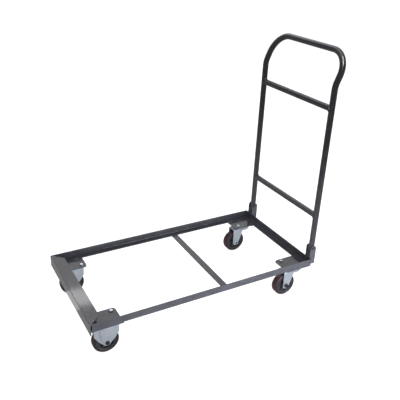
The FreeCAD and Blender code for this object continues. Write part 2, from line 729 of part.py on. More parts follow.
def bracket_ear(inner_y, thickness, foot_z):
    ear_front = HANDLE_END_X + BRACKET_DEPTH
    corners = [
        point(HANDLE_END_X, inner_y, foot_z),
        point(ear_front, inner_y, foot_z),
        point(ear_front, inner_y, PIVOT_Z),
        point(HANDLE_END_X, inner_y, PIVOT_Z),
    ]
    ear = prism(corners, point(0, thickness, 0))
    start = point(PIVOT_X, min(inner_y, inner_y + thickness), PIVOT_Z)
    tip = rod(2 * BRACKET_EAR_RADIUS, abs(thickness), start, Y_AXIS)
    ear = ear.fuse(tip).removeSplitter()
    return ear.cut(rod(PIVOT_DIAMETER, abs(thickness), start, Y_AXIS))


def pivot_bolt(side):
    """Handle pivot with its head on the outside of the cart."""
    half = TUBE_RADIUS + BRACKET_SIDE_GAP + BRACKET_WALL
    start = point(PIVOT_X, side * (POST_Y + half), PIVOT_Z)
    length = 2 * half + PIVOT_NUT_HEIGHT + PIVOT_END_LENGTH
    return hex_bolt(PIVOT_HEAD_FLATS, PIVOT_HEAD_HEIGHT, PIVOT_DIAMETER, length, start, Y_AXIS * -side)


def pivot_nut(side):
    half = TUBE_RADIUS + BRACKET_SIDE_GAP + BRACKET_WALL
    start = point(PIVOT_X, side * (POST_Y - half), PIVOT_Z)
    return hex_nut(PIVOT_HEAD_FLATS, PIVOT_NUT_HEIGHT, PIVOT_DIAMETER, start, Y_AXIS * -side)


def add_wheel(place, axle_x, side):
    """One wheel with its axle; place names the caster it belongs to."""
    y = side * CASTER_Y
    nodes["tyre_" + place] = tyre(axle_x, y)
    nodes["wheel_core_" + place] = wheel_core(axle_x, y)
    nodes["wheel_bush_" + place] = wheel_bush(axle_x, y)
    nodes["axle_sleeve_" + place] = axle_sleeve(axle_x, y)
    nodes["axle_bolt_" + place] = axle_bolt(axle_x, y, side)
    nodes["axle_nut_" + place] = axle_nut(axle_x, y, side)


nodes["handle_end_rail"] = handle_end_rail()
nodes["nose_angle"] = nose_angle()
nodes["cross_member"] = cross_member()
nodes["caster_bolts"] = caster_bolts()
nodes["flush_bolts"] = flush_bolts()
nodes["caster_washers"] = caster_washers()
nodes["caster_nuts"] = caster_nuts()
nodes["handle_tube"] = handle_tube()
nodes["upper_crossbar"] = crossbar(UPPER_CROSSBAR_HEIGHT)
nodes["lower_crossbar"] = crossbar(LOWER_CROSSBAR_HEIGHT)
nodes["pivot_bushes"] = pivot_bushes()
nodes["post_plugs"] = post_plugs()

for name, side in SIDES.items():
    nodes["side_rail_" + name] = drill_caster_holes(side_rail(side))
    nodes["nose_gusset_" + name] = gusset(NOSE_X + NOSE_WALL, 1, side)
    nodes["handle_gusset_" + name] = gusset(HANDLE_END_X, -1, side)
    nodes["handle_bracket_" + name] = handle_bracket(side)
    nodes["pivot_bolt_" + name] = pivot_bolt(side)
    nodes["pivot_nut_" + name] = pivot_nut(side)
    nodes["rigid_bracket_" + name] = rigid_bracket(side)
    nodes["swivel_plate_" + name] = swivel_plate(side)
    nodes["kingpin_" + name] = kingpin(side)
    nodes["kingpin_nut_" + name] = kingpin_nut(side)
    nodes["swivel_fork_" + name] = swivel_fork(side)
    nodes["race_balls_" + name] = race_balls(side)
    add_wheel("nose_" + name, NOSE_CASTER_X, side)
    add_wheel("handle_" + name, HANDLE_CASTER_X - SWIVEL_TRAIL, side)

os.makedirs("parts", exist_ok=True)
for name, shape in nodes.items():
    shape.translate(point(-MIDDLE_X, 0, 0))
    shape.exportStep("parts/" + name + ".step")
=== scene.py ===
import json
from math import cos, hypot, pi, radians, sin, sqrt

import bmesh
import bpy
from mathutils import Matrix, Vector


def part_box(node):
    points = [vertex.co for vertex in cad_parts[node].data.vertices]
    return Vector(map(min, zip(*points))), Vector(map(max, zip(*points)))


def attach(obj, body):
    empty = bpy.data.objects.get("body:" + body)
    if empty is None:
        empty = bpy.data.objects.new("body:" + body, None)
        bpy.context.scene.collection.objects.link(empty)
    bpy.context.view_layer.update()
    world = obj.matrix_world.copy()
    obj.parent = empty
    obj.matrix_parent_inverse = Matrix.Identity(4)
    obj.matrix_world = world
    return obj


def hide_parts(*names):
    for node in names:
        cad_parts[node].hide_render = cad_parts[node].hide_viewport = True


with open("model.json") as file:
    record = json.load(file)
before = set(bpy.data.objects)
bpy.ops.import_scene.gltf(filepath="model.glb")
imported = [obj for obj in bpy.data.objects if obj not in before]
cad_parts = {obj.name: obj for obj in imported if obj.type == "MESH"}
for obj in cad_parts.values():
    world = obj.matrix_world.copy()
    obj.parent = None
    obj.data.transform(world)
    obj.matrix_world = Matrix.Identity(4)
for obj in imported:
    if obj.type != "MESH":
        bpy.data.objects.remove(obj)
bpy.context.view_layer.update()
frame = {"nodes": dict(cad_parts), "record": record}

MM = 0.001
SIDES = {"near": -1, "far": 1}
WHEEL_PLACES = ("nose_near", "nose_far", "handle_near", "handle_far")

# ---------------------------------------------------------------- node materials

# A Mix node set to colours keeps its two colours and its result in these sockets.
MIX_COLOURS = (6, 7)
MIX_RESULT = 2


class Shader:
    """A small helper that builds one procedural material around a Principled shader."""

    def __init__(self, name):
        self.material = bpy.data.materials.new(name)
        self.material.use_nodes = True
        self.tree = self.material.node_tree
        self.tree.nodes.clear()
        self.output = self.add("ShaderNodeOutputMaterial")
        self.surface = self.add("ShaderNodeBsdfPrincipled")
        self.link(self.surface.outputs["BSDF"], self.output.inputs["Surface"])
        self.place = self.add("ShaderNodeTexCoord").outputs["Object"]

    def add(self, kind, **settings):
        node = self.tree.nodes.new(kind)
        for key, value in settings.items():
            setattr(node, key, value)
        return node

    def link(self, start, end):
        self.tree.links.new(start, end)

    def set(self, **values):
        for key, value in values.items():
            self.surface.inputs[key.replace("_", " ")].default_value = value

    def noise(self, scale, detail=3.0, roughness=0.55, stretch=(1, 1, 1)):
        mapping = self.add("ShaderNodeMapping")
        mapping.inputs["Scale"].default_value = stretch
        self.link(self.place, mapping.inputs["Vector"])
        node = self.add("ShaderNodeTexNoise")
        node.inputs["Scale"].default_value = scale
        node.inputs["Detail"].default_value = detail
        node.inputs["Roughness"].default_value = roughness
        self.link(mapping.outputs["Vector"], node.inputs["Vector"])
        return node.outputs["Fac"]

    def cells(self, scale):
        node = self.add("ShaderNodeTexVoronoi")
        node.inputs["Scale"].default_value = scale
        self.link(self.place, node.inputs["Vector"])
        return node.outputs["Distance"]

    def remap(self, value, low, high, to_low, to_high):
        node = self.add("ShaderNodeMapRange")
        node.inputs["From Min"].default_value = low
        node.inputs["From Max"].default_value = high
        node.inputs["To Min"].default_value = to_low
        node.inputs["To Max"].default_value = to_high
        self.link(value, node.inputs["Value"])
        return node.outputs["Result"]

    def mix(self, factor, first, second):
        node = self.add("ShaderNodeMix", data_type="RGBA")
        self.link(factor, node.inputs["Factor"])
        for index, colour in zip(MIX_COLOURS, (first, second)):
            socket = node.inputs[index]
            if isinstance(colour, tuple):
                socket.default_value = (*colour, 1)
            else:
                self.link(colour, socket)
        return node.outputs[MIX_RESULT]

    def maths(self, operation, first, second):
        node = self.add("ShaderNodeMath", operation=operation)
        for socket, value in zip(node.inputs, (first, second)):
            if isinstance(value, (int, float)):
                socket.default_value = value
            else:
                self.link(value, socket)
        return node.outputs["Value"]

    def bump(self, height, distance, strength=1.0):
        """Adds one layer of bump on top of those already there."""
        node = self.add("ShaderNodeBump")
        node.inputs["Distance"].default_value = distance
        node.inputs["Strength"].default_value = strength
        self.link(height, node.inputs["Height"])
        normal = self.surface.inputs["Normal"]
        if normal.is_linked:
            self.link(normal.links[0].from_socket, node.inputs["Normal"])
        self.link(node.outputs["Normal"], normal)

    def colour(self, socket):
        self.link(socket, self.surface.inputs["Base Color"])

    def rough(self, socket):
        self.link(socket, self.surface.inputs["Roughness"])


def graphite_enamel():
    """Brushed-on glossy dark grey enamel over rolled steel: soft waves, fine grain, a little dust."""
    s = Shader("graphite_enamel")
    waves = s.noise(38, 2)
    grain = s.noise(900, 4)
    dust = s.noise(9, 5, 0.65)
    tone = s.mix(s.remap(waves, 0.3, 0.7, 0, 1), (0.048, 0.048, 0.058), (0.061, 0.061, 0.074))
    dusty = s.mix(s.remap(dust, 0.52, 0.8, 0, 0.35), tone, (0.098, 0.098, 0.108))
    s.colour(dusty)
    s.rough(s.maths("ADD", s.remap(dust, 0.35, 0.8, 0.24, 0.40), s.remap(grain, 0.3, 0.7, -0.03, 0.03)))
    s.set(Specular_IOR_Level=0.35, Coat_Weight=0.8, Coat_Roughness=0.07)
    s.bump(s.noise(120, 4, 0.7), 0.0006, 0.5)
    s.bump(waves, 0.0007, 0.4)
    s.bump(grain, 0.00004, 0.35)
    return s.material


def handle_enamel():
    """The same enamel, thicker and blacker on the handle, with painted floor bounce that lightens it toward
    its feet, and a little dust.
    """
    s = Shader("handle_enamel")
    waves = s.noise(55, 2)
    grain = s.noise(900, 4)
    dust = s.noise(14, 5, 0.65)
    height = s.add("ShaderNodeSeparateXYZ")
    s.link(s.place, height.inputs["Vector"])
    # Painted light: below 0.72 m the tone turns lighter, standing in for light bounced up from the floor
    # onto the lower handle.
    painted_bounce_mask = s.remap(height.outputs["Z"], 0.25, 0.72, 1.0, 0.0)
    tone = s.mix(s.remap(waves, 0.3, 0.7, 0, 1), (0.010, 0.010, 0.015), (0.016, 0.015, 0.023))
    grey = s.mix(painted_bounce_mask, tone, (0.078, 0.077, 0.087))
    s.colour(s.mix(s.remap(dust, 0.55, 0.85, 0, 0.25), grey, (0.10, 0.10, 0.10)))
    s.rough(s.maths("ADD", s.remap(dust, 0.35, 0.8, 0.26, 0.42), s.remap(grain, 0.3, 0.7, -0.03, 0.03)))
    s.set(Specular_IOR_Level=0.3, Coat_Weight=0.6, Coat_Roughness=0.09)
    s.bump(waves, 0.0005, 0.3)
    s.bump(grain, 0.00004, 0.35)
    return s.material


def zinc_plate():
    """Bright zinc plating on pressed steel: bluish, faintly mottled, with fine drawing lines."""
    s = Shader("zinc_plate")
    mottle = s.cells(260)
    cloud = s.noise(45, 4)
    lines = s.noise(420, 3, 0.6, stretch=(1, 1, 7))
    base = s.mix(s.remap(cloud, 0.3, 0.7, 0, 1), (0.66, 0.72, 0.82), (0.78, 0.83, 0.91))
    s.colour(s.mix(s.remap(mottle, 0.1, 0.7, 0, 0.25), base, (0.58, 0.63, 0.73)))
    s.rough(s.remap(lines, 0.3, 0.7, 0.24, 0.42))
    s.set(Metallic=0.9)
    s.bump(lines, 0.00005, 0.4)
    s.bump(cloud, 0.0004, 0.25)
    return s.material


def black_oxide():
    """Blackened steel bolt, oily, with a faint brown bloom."""
    s = Shader("black_oxide")
    cloud = s.noise(130, 4)
    s.colour(s.mix(s.remap(cloud, 0.35, 0.7, 0, 1), (0.020, 0.020, 0.024), (0.050, 0.043, 0.040)))
    s.rough(s.remap(cloud, 0.3, 0.7, 0.28, 0.45))
    s.set(Metallic=0.6)
    s.bump(s.noise(800, 3), 0.00004, 0.4)
    return s.material


def plain_steel():
    """Turned steel with fine rings along its axis."""
    s = Shader("turned_steel")
    rings = s.noise(700, 2, 0.5, stretch=(1, 8, 1))
    s.colour(s.mix(rings, (0.32, 0.31, 0.30), (0.55, 0.54, 0.53)))
    s.rough(s.remap(rings, 0.3, 0.7, 0.25, 0.45))
    s.set(Metallic=1.0)
    s.bump(rings, 0.00005, 0.4)
    return s.material


def maroon_tread():
    """Hard moulded tyre: dark wine red on the tread, nearly black on the faces that look sideways along the
    axle.
    """
    s = Shader("maroon_tread")
    cloud = s.noise(60, 4)
    specks = s.noise(1100, 3)
    base = s.mix(s.remap(cloud, 0.3, 0.7, 0, 1), (0.034, 0.009, 0.017), (0.058, 0.016, 0.029))
    worn = s.mix(s.remap(specks, 0.62, 0.8, 0, 0.4), base, (0.12, 0.09, 0.10))
    facing = s.add("ShaderNodeSeparateXYZ")
    s.link(s.add("ShaderNodeTexCoord").outputs["Normal"], facing.inputs["Vector"])
    sideways = s.maths("ABSOLUTE", facing.outputs["Y"], 0)
    s.colour(s.mix(s.remap(sideways, 0.72, 0.96, 0, 1), worn, (0.015, 0.009, 0.013)))
    s.rough(s.remap(cloud, 0.3, 0.7, 0.32, 0.50))
    s.bump(specks, 0.00006, 0.4)
    s.bump(cloud, 0.0005, 0.2)
    return s.material


def moulded(name, dark, light, low, high):
    """Moulded plastic with a fine spark-eroded grain."""
    s = Shader(name)
    cloud = s.noise(50, 3)
    grain = s.noise(1500, 2)
    s.colour(s.mix(s.remap(cloud, 0.3, 0.7, 0, 1), dark, light))
    s.rough(s.remap(cloud, 0.3, 0.7, low, high))
    s.bump(grain, 0.00005, 0.5)
    return s.material


def pale_floor():
    """Matt paper, almost even."""
    s = Shader("pale_floor")
    cloud = s.noise(3, 3)
    s.colour(s.mix(cloud, (0.90, 0.90, 0.90), (0.93, 0.93, 0.93)))
    s.set(Roughness=0.9, Specular_IOR_Level=0.0)
    return s.material


HANDLE_PAINT = handle_enamel()
MATERIALS = {
    "graphite_paint": graphite_enamel(),
    "zinc": zinc_plate(),
    "plain_steel": plain_steel(),
    "maroon_tread": maroon_tread(),
    "dark_core": moulded("dark_core", (0.020, 0.021, 0.025), (0.035, 0.036, 0.042), 0.35, 0.5),
    "black_plastic": moulded("black_plastic", (0.012, 0.012, 0.012), (0.022, 0.022, 0.022), 0.4, 0.6),
}

# ---------------------------------------------------------------- CAD nodes that stay

SAME_PLACE = 0.01 * MM
FLAT_WITHIN = radians(0.5)
SHARP_FROM = radians(40)
# Radius of the softened edges of the nodes whose names start so.
SOFT_EDGES = (
    (("side_rail", "handle_end_rail", "nose_angle", "cross_member"), 0.6 * MM),
    (("nose_gusset", "handle_gusset", "handle_bracket"), 0.5 * MM),
    (("rigid_bracket", "swivel_plate", "swivel_fork"), 0.45 * MM),
    (("wheel_core",), 0.5 * MM),
    (("caster_bolts", "caster_nuts", "axle_bolt", "axle_nut", "pivot_bolt", "pivot_nut"), 0.25 * MM),
)


def soften(name, width):
    """Joins a CAD node's faces and rounds its sharp edges, without touching its mesh."""
    node = frame["nodes"][name]
    weld = node.modifiers.new("join", "WELD")
    weld.merge_threshold = SAME_PLACE
    flat = node.modifiers.new("flat", "DECIMATE")
    flat.decimate_type = "DISSOLVE"
    flat.angle_limit = FLAT_WITHIN
    bevel = node.modifiers.new("soft_edges", "BEVEL")
    bevel.width = width
    bevel.segments = 2
    bevel.limit_method = "ANGLE"
    bevel.angle_limit = SHARP_FROM


def node_names(*starts):
    """The CAD nodes whose names start with one of these words."""
    return [row["node"] for row in frame["record"]["subparts"] if row["node"].startswith(starts)]


for entry in frame["record"]["subparts"]:
    node = frame["nodes"][entry["node"]]
    node.data.materials[0] = MATERIALS[entry["material_slot"]]
for name in node_names("handle_tube", "upper_crossbar", "lower_crossbar"):
    frame["nodes"][name].data.materials[0] = HANDLE_PAINT

blackened = black_oxide()
for name in node_names("axle_bolt"):
    frame["nodes"][name].data.materials[0] = blackened

for starts, edge_radius in SOFT_EDGES:
    for name in node_names(*starts):
        soften(name, edge_radius)

# ---------------------------------------------------------------- places from the CAD


def low(name):
    return Vector(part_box(name)[0])


def high(name):
    return Vector(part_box(name)[1])


def middle(name):
    return (low(name) + high(name)) / 2


TUBE_R = (high("lower_crossbar").z - low("lower_crossbar").z) / 2
POST_X = middle("lower_crossbar").x
POST_Y = high("pivot_bushes").y - TUBE_R
END_X = high("handle_end_rail").x
NOSE_X = low("nose_angle").x
HALF_WIDTH = high("handle_end_rail").y
FRAME_TOP = high("handle_end_rail").z
UNDERSIDE = low("handle_end_rail").z
# The rails are steel angle: the width of a leg, its wall, and the top of the leg that the load stands on.
LEG = FRAME_TOP - UNDERSIDE
WALL = 3 * MM
LEDGE_TOP = UNDERSIDE + WALL

# ---------------------------------------------------------------- mesh helpers


def add_mesh(name, verts, faces, body, slot, material=None):
    """A smooth-shaded piece that rides on a body and takes a slot's finish, or a given material."""
    mesh = bpy.data.meshes.new(name)
    mesh.from_pydata([tuple(v) for v in verts], [], faces)
    mesh.update()
    mesh.shade_smooth()
    piece = bpy.data.objects.new(name, mesh)
    bpy.context.collection.objects.link(piece)
    mesh.materials.append(material or MATERIALS[slot])
    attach(piece, body)
    return piece


def spaced(path, step):
    """Points at even steps along a path of straight runs."""
    lengths = [0.0]
    for start, end in zip(path, path[1:]):
        lengths.append(lengths[-1] + (end - start).length)
    count = max(4, round(lengths[-1] / step))
    places = []
    run = 0
    for index in range(count + 1):
        along = lengths[-1] * index / count
        while run < len(path) - 2 and lengths[run + 1] < along:
            run += 1
        share = (along - lengths[run]) / (lengths[run + 1] - lengths[run])
        places.append(path[run].lerp(path[run + 1], min(1.0, share)))
    return places


RIPPLE_PITCH = 2.3 * MM
RIPPLE_STEPS = 4
BEAD_SIDES = 10
TAPERED_RIPPLES = 1.6
# A direction that no bead runs along: it fixes where a bead's rings of points start.
BEAD_REFERENCE = Vector((0.31, 0.22, 0.93))
CLOSED_WITHIN = 0.1 * MM


def weld_bead(name, path, radius, body, material=None):
    """A laid weld bead: overlapping crescent ripples with tapered ends, slightly uneven."""
    places = spaced([Vector(p) for p in path], RIPPLE_PITCH / RIPPLE_STEPS)
    closed = (places[0] - places[-1]).length < CLOSED_WITHIN
    verts = []
    for index, place in enumerate(places):
        before = places[max(0, index - 1)]
        after = places[min(len(places) - 1, index + 1)]
        along = (after - before).normalized()
        across = along.cross(BEAD_REFERENCE).normalized()
        upward = along.cross(across)
        phase = (index % RIPPLE_STEPS) / RIPPLE_STEPS
        ripple = 0.88 + 0.16 * (1 - phase) ** 0.7
        drift = 1 + 0.08 * sin(index * 0.37) + 0.05 * sin(index * 0.119 + 1.3)
        ends = min(index, len(places) - 1 - index) / (TAPERED_RIPPLES * RIPPLE_STEPS)
        taper = 1.0 if closed else min(1.0, 0.25 + 0.75 * sqrt(ends))
        size = radius * ripple * drift * taper
        for side in range(BEAD_SIDES):
            turn = 2 * pi * side / BEAD_SIDES
            verts.append(place + across * (size * cos(turn)) + upward * (size * sin(turn)))
    faces = []
    for ring in range(len(places) - 1):
        for side in range(BEAD_SIDES):
            near = ring * BEAD_SIDES + side
            beside = ring * BEAD_SIDES + (side + 1) % BEAD_SIDES
            faces.append((near, beside, beside + BEAD_SIDES, near + BEAD_SIDES))
    if not closed:
        faces.append(tuple(reversed(range(BEAD_SIDES))))
        faces.append(tuple(range(len(verts) - BEAD_SIDES, len(verts))))
    return add_mesh(name, verts, faces, body, "graphite_paint", material)


def turned(profile, centre, axis, segments, closed):
    """Points and faces of a profile of (radius, along), in millimetres, turned about an axis."""
    axis = Vector(axis).normalized()
    first = axis.orthogonal().normalized()
    second = axis.cross(first)
    verts = []
    for step in range(segments):
        turn = 2 * pi * step / segments
        outward = first * cos(turn) + second * sin(turn)
        for radius, along in profile:
            verts.append(centre + (outward * radius + axis * along) * MM)
    count = len(profile)
    faces = []
    for step in range(segments):
        ring = step * count
        beside = (step + 1) % segments * count
        for index in range(count if closed else count - 1):
            after = (index + 1) % count
            faces.append((ring + index, ring + after, beside + after, beside + index))
    return verts, faces


def lathe(name, profile, centres, body, slot, axis=(0, 1, 0), segments=96, closed=True, material=None):
    """One piece made of the same turned shape at each of several centres."""
    verts = []
    faces = []
    for centre in centres:
        more, quads = turned(profile, centre, axis, segments, closed)
        faces.extend(tuple(len(verts) + index for index in quad) for quad in quads)
        verts.extend(more)
    return add_mesh(name, verts, faces, body, slot, material)


# A panel's outline draws in upright by this share of what it draws in across.
PANEL_UPRIGHT_INSET = 0.6


def pressed_panel(name, outline, place, outward, height, body):
    """A raised panel pressed in a bracket leg: outline of (x, z) about the axle, in millimetres."""
    count = len(outline)
    middle_x = sum(x for x, z in outline) / count
    middle_z = sum(z for x, z in outline) / count
    # Each row is a copy of the outline: how far it is scaled in, and how far it stands out.
    rows = [(1.0, -0.6), (1.0, 0.0), (0.998, 0.7 * height), (0.985, 0.93 * height), (0.96, height)]
    verts = []
    for scale, rise in rows:
        for x, z in outline:
            across = middle_x + (x - middle_x) * scale
            upward = middle_z + (z - middle_z) * (1 - (1 - scale) * PANEL_UPRIGHT_INSET)
            verts.append(place + Vector((across, outward * rise, upward)) * MM)
    faces = []
    for row in range(len(rows) - 1):
        for index in range(count):
            after = (index + 1) % count
            faces.append((row * count + index, row * count + after,
                          (row + 1) * count + after, (row + 1) * count + index))
    faces.append(tuple(range((len(rows) - 1) * count, len(rows) * count)))
    piece = add_mesh(name, verts, faces, body, "zinc")
    bm = bmesh.new()
    bm.from_mesh(piece.data)
    bmesh.ops.recalc_face_normals(bm, faces=bm.faces)
    bm.to_mesh(piece.data)
    bm.free()
    return piece


# ---------------------------------------------------------------- welds

SADDLE_STEPS = 64
SADDLE_BEAD = 3.0 * MM
BRACKET_BEAD = 2.2 * MM
BRACKET_TOP_BEAD = 1.6 * MM
BRACKET_TOP_HALF = 13 * MM
MITRE_BEAD = 1.8 * MM
MITRE_ROOT = WALL + 1 * MM
MITRE_OUT = 10 * MM
MITRE_SUNK = 0.8 * MM
CROSS_TOP_BEAD = 1.9 * MM
CROSS_TOP_HALF = 14 * MM
CROSS_TOP_SUNK = 0.9 * MM
CROSS_UNDER_BEAD = 1.8 * MM
CROSS_UNDER_FROM = 15.3 * MM
CROSS_UNDER_TO = -13 * MM
CROSS_UNDER_OUT = 0.3 * MM
CROSS_UNDER_DROP = 0.4 * MM
STITCH_BEAD = 1.9 * MM
STITCH_SUNK = 0.2 * MM
STITCH_LENGTH = 26 * MM
END_STITCH_LENGTH = 20 * MM
# The corner plates of each end: where they start along X, and which way they run from there.
PLATE_STARTS = (("nose", NOSE_X + 20 * MM, 1), ("handle", END_X - LEG - 6 * MM, -1))
# Where the stitches of a corner plate start: from its end, and from the side rail's ledge, in millimetres.
STITCH_STARTS = (16, 68)
END_STITCH_STARTS = (12, 46)

for bar in ("upper_crossbar", "lower_crossbar"):
    for side, sign in SIDES.items():
        saddle = []
        for step in range(SADDLE_STEPS + 1):
            turn = 2 * pi * step / SADDLE_STEPS
            reach = POST_Y - TUBE_R * abs(sin(turn))
            saddle.append((POST_X + TUBE_R * cos(turn), sign * reach, middle(bar).z + TUBE_R * sin(turn)))
        weld_bead(f"weld_{bar}_{side}", saddle, SADDLE_BEAD, "handle", HANDLE_PAINT)

BRACKET_HALF = (high("handle_bracket_far").y - low("handle_bracket_far").y) / 2
cross = middle("cross_member").x
seam = HALF_WIDTH - LEG
for side, sign in SIDES.items():
    post_y = sign * POST_Y
    for edge, offset in (("in", -BRACKET_HALF), ("out", BRACKET_HALF)):
        y = post_y + offset
        path = [(END_X, y, UNDERSIDE + 1 * MM), (END_X, y, FRAME_TOP - 1 * MM)]
        weld_bead(f"weld_bracket_{side}_{edge}", path, BRACKET_BEAD, "frame")
    x = END_X + 1 * MM
    path = [(x, post_y - BRACKET_TOP_HALF, FRAME_TOP), (x, post_y + BRACKET_TOP_HALF, FRAME_TOP)]
    weld_bead(f"weld_bracket_{side}_top", path, BRACKET_TOP_BEAD, "frame")

    # The mitre of the side and end rails: down the root of the corner, then out along the ledge.
    path = [
        (END_X - MITRE_ROOT, sign * (HALF_WIDTH - MITRE_ROOT), FRAME_TOP - 2 * MM),
        (END_X - MITRE_ROOT, sign * (HALF_WIDTH - MITRE_ROOT), LEDGE_TOP + 1 * MM),
        (END_X - MITRE_OUT, sign * (HALF_WIDTH - MITRE_OUT), LEDGE_TOP - MITRE_SUNK),
        (END_X - LEG + 1 * MM, sign * (HALF_WIDTH - LEG + 1 * MM), LEDGE_TOP - MITRE_SUNK),
    ]
    weld_bead(f"weld_mitre_{side}", path, MITRE_BEAD, "frame")

    y = sign * seam
    z = LEDGE_TOP - CROSS_TOP_SUNK
    path = [(cross - CROSS_TOP_HALF, y, z), (cross + CROSS_TOP_HALF, y, z)]
    weld_bead(f"weld_cross_top_{side}", path, CROSS_TOP_BEAD, "frame")
    y = sign * (seam + CROSS_UNDER_OUT)
    z = UNDERSIDE - CROSS_UNDER_DROP
    path = [(cross + CROSS_UNDER_FROM, y, z), (cross + CROSS_UNDER_TO, y, z)]
    weld_bead(f"weld_cross_under_{side}", path, CROSS_UNDER_BEAD, "frame")

    # Stitches between the corner plates and the ledges above them.
    z = UNDERSIDE + STITCH_SUNK
    for end, start_x, inward in PLATE_STARTS:
        for stitch, start in enumerate(STITCH_STARTS):
            x = start_x + inward * start * MM
            y = sign * (seam - STITCH_SUNK)
            path = [(x, y, z), (x + inward * STITCH_LENGTH, y, z)]
            weld_bead(f"weld_gusset_{end}_{side}_{stitch}", path, STITCH_BEAD, "frame")
    x = END_X - LEG - STITCH_SUNK
    for stitch, start in enumerate(END_STITCH_STARTS):
        y = sign * (HALF_WIDTH - LEG - start * MM)
        path = [(x, y, z), (x, y - sign * END_STITCH_LENGTH, z)]
        weld_bead(f"weld_gusset_end_{side}_{stitch}", path, STITCH_BEAD, "frame")

# ---------------------------------------------------------------- wheels

# Tread section: (depth below the tread surface, distance from the middle), in millimetres.
TREAD_SECTION = [
    (14.0, 14.4), (13.6, 15.4), (12.4, 15.9), (10.4, 16.0), (10.0, 15.7), (9.0, 15.7), (8.6, 16.0),
    (5.4, 15.95), (3.4, 15.4), (1.8, 14.0), (0.85, 12.2), (0.4, 9.5), (0.15, 5.0), (0.04, 0.45), (0.0, 0.2),
]
TREAD_SEGMENTS = 144

for place in WHEEL_PLACES:
    tyre = f"tyre_{place}"
    wheel_radius = (high(tyre).z - low(tyre).z) / 2 / MM
    section = [(wheel_radius - depth, -half) for depth, half in TREAD_SECTION]
    section += [(wheel_radius - depth, half) for depth, half in reversed(TREAD_SECTION)]
    body = f"wheel_{place}"
    piece = lathe(f"tread_{place}", section, [middle(tyre)], body, "maroon_tread", segments=TREAD_SEGMENTS)
    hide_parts(tyre)

# ---------------------------------------------------------------- caster details

# The panel of a rigid bracket: straight sides that narrow to a round nose under the axle, in millimetres.
PANEL_NOSE = 13
PANEL_FACE = 23.5
PANEL_HEIGHT = 3.6
PANEL_OUTLINE = [(-29, 82), (29, 82), (28, 50), (26, 30), (22, 17), (16, 4)]
for degrees in range(-10, -171, -20):
    PANEL_OUTLINE.append((PANEL_NOSE * cos(radians(degrees)), PANEL_NOSE * sin(radians(degrees))))
PANEL_OUTLINE += [(-16, 4), (-22, 17), (-26, 30), (-28, 50)]
# Lock nuts: the collar that holds the ring and the nylon ring itself, as (radius, height above the nut).
NUT_SEGMENTS = 48
COLLAR = [(5.0, -0.5), (8.4, -0.5), (8.3, 0.6), (7.6, 1.6), (6.6, 2.1), (5.7, 2.1), (5.4, 1.7), (5.0, 1.6)]
INSERT = [(4.9, -0.2), (5.5, -0.2), (5.5, 1.5), (4.9, 1.5)]

for place in WHEEL_PLACES:
    end, side = place.split("_")
    wheel = middle(f"tyre_{place}")
    body = "frame" if end == "nose" else f"swivel_{side}"
    nut = f"axle_nut_{place}"
    sign = 1 if middle(nut).y > wheel.y else -1
    face = high(nut).y if sign > 0 else low(nut).y
    nut_end = Vector((wheel.x, face, wheel.z))
    lathe(f"nut_collar_{place}", COLLAR, [nut_end], body, "zinc", (0, sign, 0), NUT_SEGMENTS)
    lathe(f"nut_insert_{place}", INSERT, [nut_end], body, "black_plastic", (0, sign, 0), NUT_SEGMENTS)
    if end == "nose":
        for leg, outward in SIDES.items():
            axle = Vector((wheel.x, wheel.y + outward * PANEL_FACE * MM, wheel.z))
            pressed_panel(f"panel_{side}_{leg}", PANEL_OUTLINE, axle, outward, PANEL_HEIGHT, body)

# ---------------------------------------------------------------- bolt details

BOLTS_APART = 20 * MM
UPRIGHT = (0, 0, 1)
SHANK_SEGMENTS = 40
SHANK_RADIUS = 4.0
FLUSH_HEAD_DEPTH = 4.0
THREAD_CORE = 3.5
THREAD_LENGTH = 12.0
THREAD_PITCH = 1.25
PAST_TIP = 0.05 * MM
SOCKET_POINTS = 48
# A countersunk head from its shank up over the rim and down into the socket: (radius, height, hexagonal).
SOCKET_RINGS = (
    (4.0, -4.0, False), (8.0, -0.35, False), (7.75, -0.05, False), (7.4, 0.0, False),
    (3.3, 0.0, True), (3.05, -0.25, True), (2.95, -2.4, True), (1.2, -3.0, False),
)


def columns(name):
    """The middle of each bolt or nut of a node that holds several, standing along Z."""
    groups = []
    for vertex in frame["nodes"][name].data.vertices:
        for group in groups:
            if hypot(vertex.co.x - group[0].x, vertex.co.y - group[0].y) < BOLTS_APART:
                group.append(vertex.co)
                break
        else:
            groups.append([vertex.co])
    places = []
    for group in groups:
        lowest = Vector(min(co[axis] for co in group) for axis in range(3))
        highest = Vector(max(co[axis] for co in group) for axis in range(3))
        places.append((lowest + highest) / 2)
    return places


def thread_profile(core, crest, length, pitch):
    """A bolt end seen from the side: rounded thread crests and a chamfered tip, in millimetres."""
    profile = [(0.01, 0.0), (core - 0.6, 0.0), (core, 0.5)]
    along = 0.5
    while along + pitch < length:
        profile += [(core, along + 0.1 * pitch), (crest, along + 0.45 * pitch), (crest, along + 0.6 * pitch)]
        along += pitch
    return profile + [(core, length)]


def socket_head(name, places, top):
    """Countersunk heads with a hexagon socket, their rims level with top."""
    verts = []
    faces = []
    for place in places:
        start = len(verts)
        for radius, height, hexagonal in SOCKET_RINGS:
            for step in range(SOCKET_POINTS):
                turn = 2 * pi * step / SOCKET_POINTS
                reach = radius
                if hexagonal:
                    reach = radius * cos(pi / 6) / cos((turn % (pi / 3)) - pi / 6)
                x = place.x + reach * cos(turn) * MM
                y = place.y + reach * sin(turn) * MM
                verts.append(Vector((x, y, top + height * MM)))
        for ring in range(len(SOCKET_RINGS) - 1):
            first = start + ring * SOCKET_POINTS
            for step in range(SOCKET_POINTS):
                beside = first + (step + 1) % SOCKET_POINTS
                faces.append((first + step, beside, beside + SOCKET_POINTS, first + step + SOCKET_POINTS))
        last = start + (len(SOCKET_RINGS) - 1) * SOCKET_POINTS
        faces.append(tuple(last + step for step in range(SOCKET_POINTS)))
    return add_mesh(name, verts, faces, "frame", "graphite_paint")


